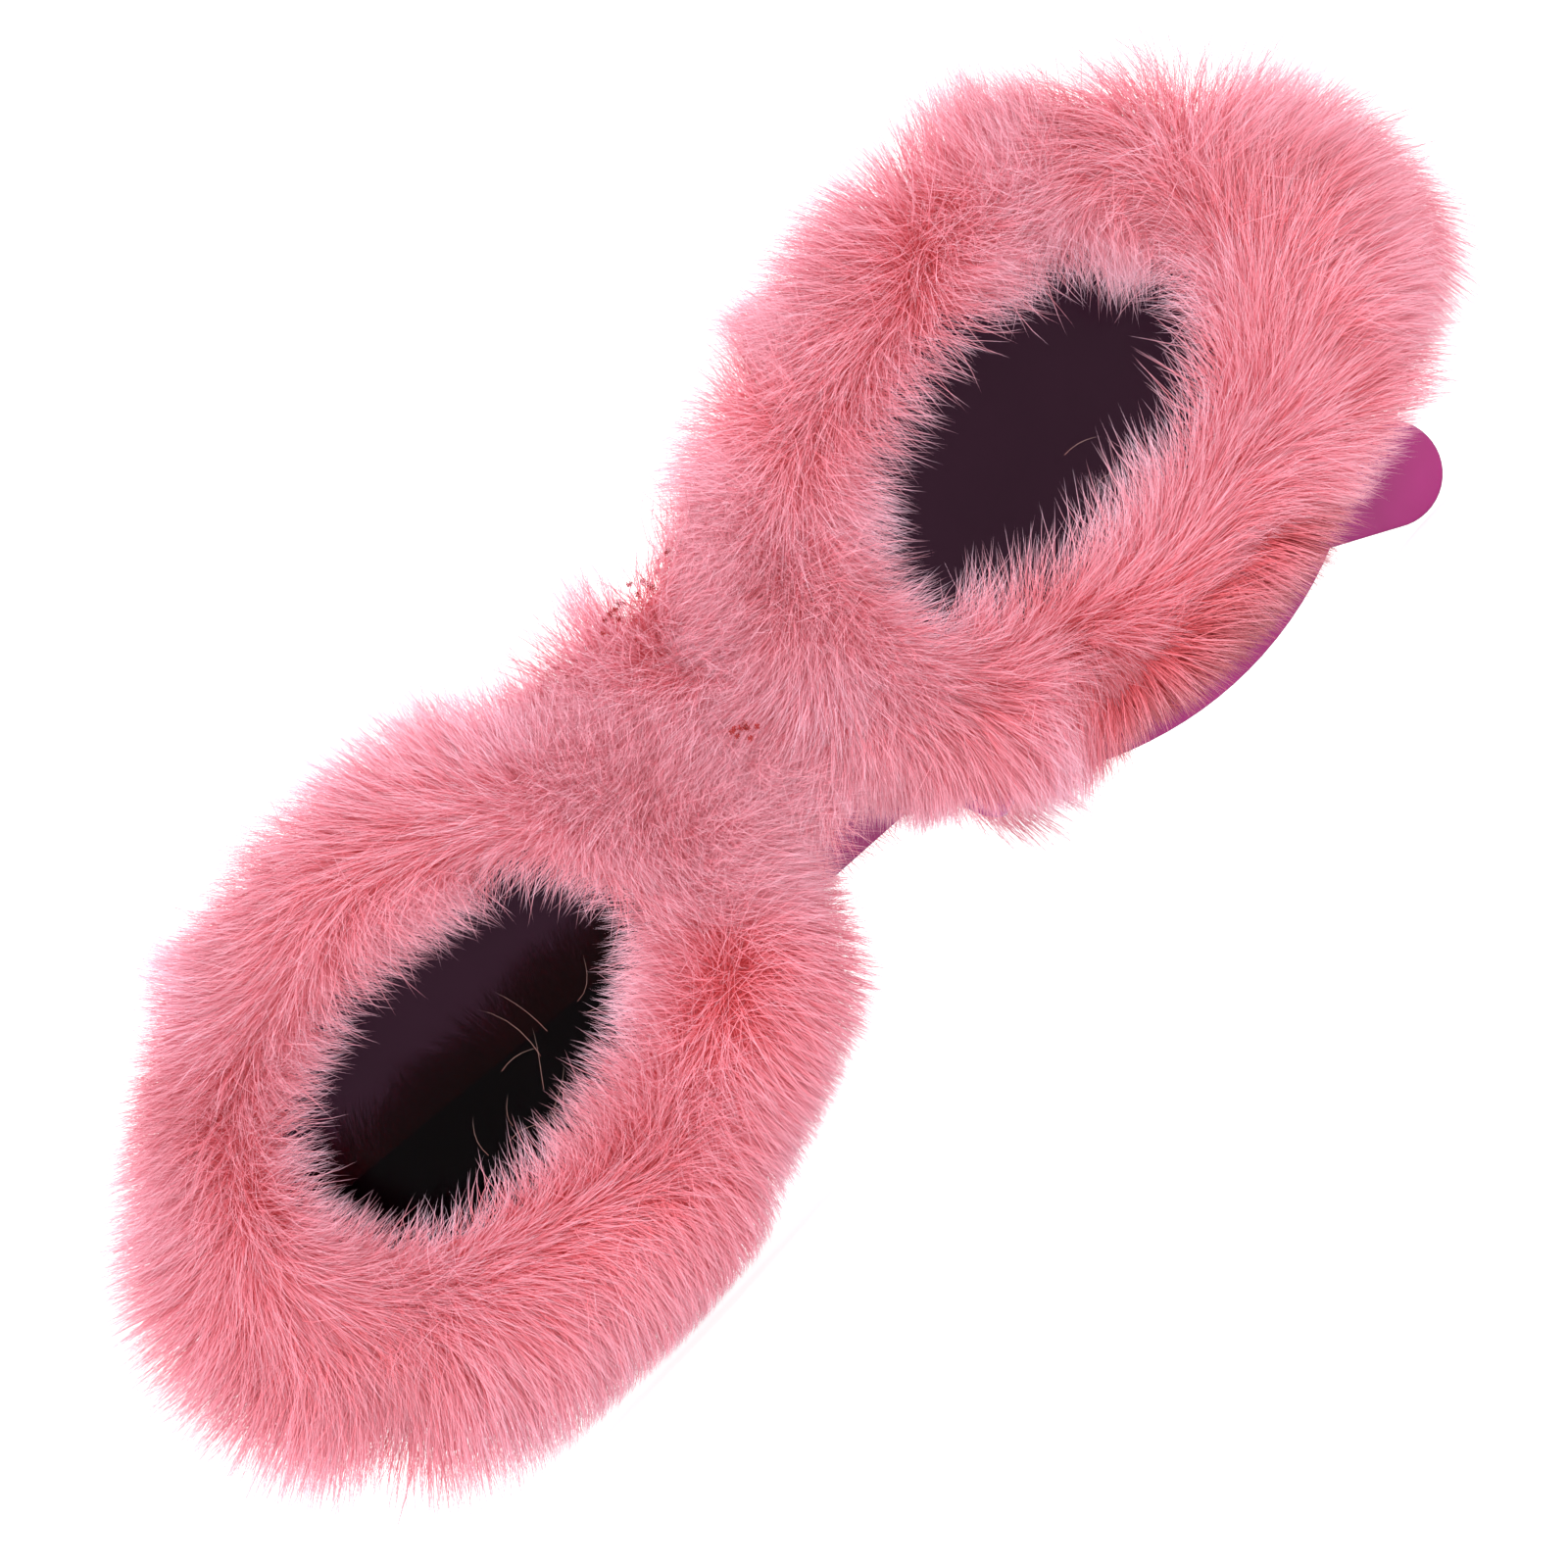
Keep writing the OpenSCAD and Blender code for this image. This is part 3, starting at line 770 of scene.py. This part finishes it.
def temple_fur(side, count, seed):
    """The pile round one temple: it hangs, and at the hinge it reaches forwards to the front."""
    rng = np.random.default_rng(seed)
    along, up, outward = arm_frame(side)[1:]
    u = rng.uniform(TEMPLE_FUR[0], TEMPLE_FUR[1], count)
    phi = np.radians(rng.uniform(-TEMPLE_ROUND, TEMPLE_ROUND, count))
    bare = (u > TEMPLE_SHORT[0]) & (u < TEMPLE_SHORT[1]) & (np.sin(phi) < -0.4)
    u, phi = u[~bare], phi[~bare]
    count = len(u)
    root, away = temple_place(side, u, phi)
    root_end = smoothstep(16.0, 0.0, u)
    far_end = smoothstep(76.0, 86.0, u)
    high, low = np.clip(np.sin(phi), 0, 1), np.clip(-np.sin(phi), 0, 1)
    drift = drifting(root, TEMPLE_WAVES, seed)
    aim = away + drift * 0.3 - along * (0.9 * root_end)[:, None]
    lean = drift + up * (0.5 * np.sin(phi))[:, None]
    lean = lean + along * (0.9 * far_end - 1.6 * root_end)[:, None]
    lean = lean - outward * 0.25
    lean[:, 2] -= 0.75 + (0.5 + 1.2 * low) * root_end
    length = TEMPLE_LENGTH - 6.5 * high * (1 - root_end) + (3.0 + 3.0 * low) * root_end
    short = smoothstep(TEMPLE_SHORT[0] - 4, TEMPLE_SHORT[0] + 4, u)
    short = short * smoothstep(TEMPLE_SHORT[1] + 3, TEMPLE_SHORT[1] - 3, u)
    length = length * (1 - 0.85 * short * (0.4 + 0.6 * low))
    length = length * rng.uniform(*TEMPLE_LENGTH_SPREAD, count)
    shade = TEMPLE_SHADE + SHADE_SPREAD * rng.normal(size=count)
    return root, aim, lean, length, np.clip(shade, 0.15, SHADE_RANGE[1])


# ---------------------------------------------------------------- fur backing
def thick_sheet(name, patches):
    """Closed sheets, each from a front and a back grid of points. A closed one meets itself."""
    bm = bmesh.new()
    for front, back, closed in patches:
        rows, cols = front.shape[:2]
        grids = [
            [[bm.verts.new(Vector(p * MM)) for p in row] for row in grid] for grid in (front, back)
        ]
        for i in range(rows if closed else rows - 1):
            n = (i + 1) % rows
            for j in range(cols - 1):
                for g, grid in enumerate(grids):
                    face = [grid[i][j], grid[n][j], grid[n][j + 1], grid[i][j + 1]]
                    bm.faces.new(face if g else face[::-1])
            for j in (0, cols - 1):
                face = [grids[0][i][j], grids[0][n][j], grids[1][n][j], grids[1][i][j]]
                bm.faces.new(face if j == 0 else face[::-1])
        for i in () if closed else (0, rows - 1):
            for j in range(cols - 1):
                face = [grids[0][i][j], grids[0][i][j + 1], grids[1][i][j + 1], grids[1][i][j]]
                bm.faces.new(face if i else face[::-1])
    bmesh.ops.recalc_face_normals(bm, faces=bm.faces)
    mesh = bpy.data.meshes.new(name)
    bm.to_mesh(mesh)
    bm.free()
    mesh.shade_smooth()
    return put(name, mesh)


def front_backing(word, side):
    """The cloth round one lens, a closed ring, with the half of the bridge beside it."""
    turns, bands = 96, 13
    angle = np.linspace(0, 2 * math.pi, turns, endpoint=False)
    angle, across = np.meshgrid(angle, np.linspace(0, 1, bands), indexing="ij")
    place, _, ahead = ring_frame(side, angle.ravel(), across.ravel())
    place, ahead = place.reshape(turns, bands, 3), ahead.reshape(turns, bands, 3)
    face, rear = (place - ahead * d for d in (BACKING_UNDER, BACKING_UNDER + BACKING_THICK))
    x, z = side * np.linspace(*BRIDGE_X, 12), np.linspace(*BRIDGE_Z, 16)
    span = bridge_place(*np.meshgrid(x, z, indexing="ij")) + np.array([0, BACKING_UNDER, 0])
    patches = [(face, rear, True), (span, span + np.array([0, BACKING_THICK, 0]), False)]
    return backing_piece(f"fur_backing_front_{word}", patches, "front")


def temple_backing(word, side):
    """The cloth on the outer face of one temple."""
    u, phi = np.linspace(*TEMPLE_FUR, 30), np.radians(np.linspace(-BACKING_ROUND, BACKING_ROUND, 15))
    u, phi = np.meshgrid(u, phi, indexing="ij")
    face = temple_place(side, u, phi, BACKING_UNDER)[0]
    rear = temple_place(side, u, phi, BACKING_UNDER + BACKING_THICK)[0]
    patches = [(face, rear, False)]
    return backing_piece(f"fur_backing_temple_{word}", patches, f"{word}_temple")


def backing_piece(name, patches, body):
    """One piece of cloth, glued down on the piece under it."""
    sheet = thick_sheet(name, patches)
    give(sheet, cloth)
    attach(sheet, body)
    return sheet


# ---------------------------------------------------------------- build
make_camera()
make_light()
ground = cad_box[0].z - 0.0005
make_stage(ground)

pile = fur_material()
cloth = backing_material()
loose_hair = hair_material()
for side, word, seed in ((-1, "left", 11), (1, "right", 23)):
    parts = [ring_fur(side, COUNT_RING, seed), bridge_fur(side, COUNT_BRIDGE, seed + 50)]
    if side > 0:
        parts.append(specks(seed + 60))
    pile_piece(f"fur_front_{word}", parts, seed + 5, "front", f"front_fur_{word}")
    parts = [temple_fur(side, COUNT_TEMPLE, seed + 100)]
    pile_piece(f"fur_temple_{word}", parts, seed + 105, f"{word}_temple", f"temple_fur_{word}")
    lens_hairs(word, side, LOOSE_HAIRS[side], seed + 70)
    front_backing(word, side)
    temple_backing(word, side)

cad_looks = (
    (plastic_material(), ("front_frame", "temple_left", "temple_right")),
    (lens_material(), ("lens_left", "lens_right")),
    (steel_material(), (
        "front_hinge_left", "front_hinge_right", "hinge_screws",
        "temple_hinge_left", "temple_hinge_right",
    )),
)
for look, names in cad_looks:
    for name in names:
        give(nodes[name], look)
